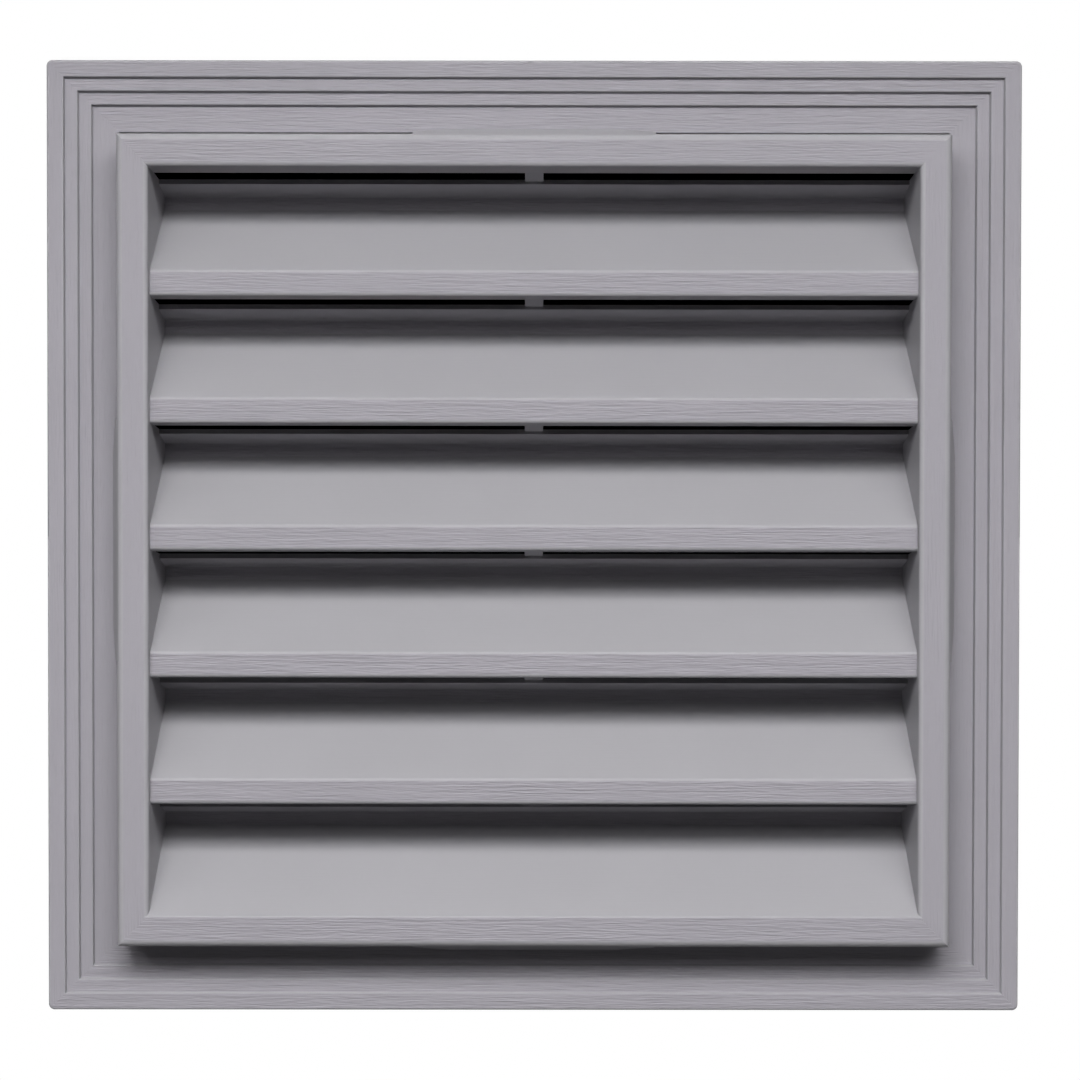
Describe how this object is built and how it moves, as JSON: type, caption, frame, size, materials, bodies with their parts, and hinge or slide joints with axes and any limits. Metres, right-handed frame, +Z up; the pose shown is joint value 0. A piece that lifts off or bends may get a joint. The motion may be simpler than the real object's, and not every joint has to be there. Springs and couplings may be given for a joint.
{
  "type": "gable vent",
  "caption": "Louvred plastic gable vent with a stepped push-on surround, sloping blades with drip lips, a slotted nail flange behind and an insect screen at the back.",
  "frame": {"origin": "middle of the louvre body on the wall plane, which is the back of the nail flange", "axes": "+Y into the wall, +Z up, +X to the right seen from the front"},
  "size_m": [0.3946, 0.0535, 0.3854],
  "materials": {
    "body_plastic": "embossed wood grain",
    "ring_plastic": "embossed wood grain",
    "screen_wire": "black coated wire"
  },
  "bodies": {
    "root": {"louvre_body": "body_plastic", "surround_ring": "ring_plastic", "insect_screen": "screen_wire"}
  },
  "joints": []
}
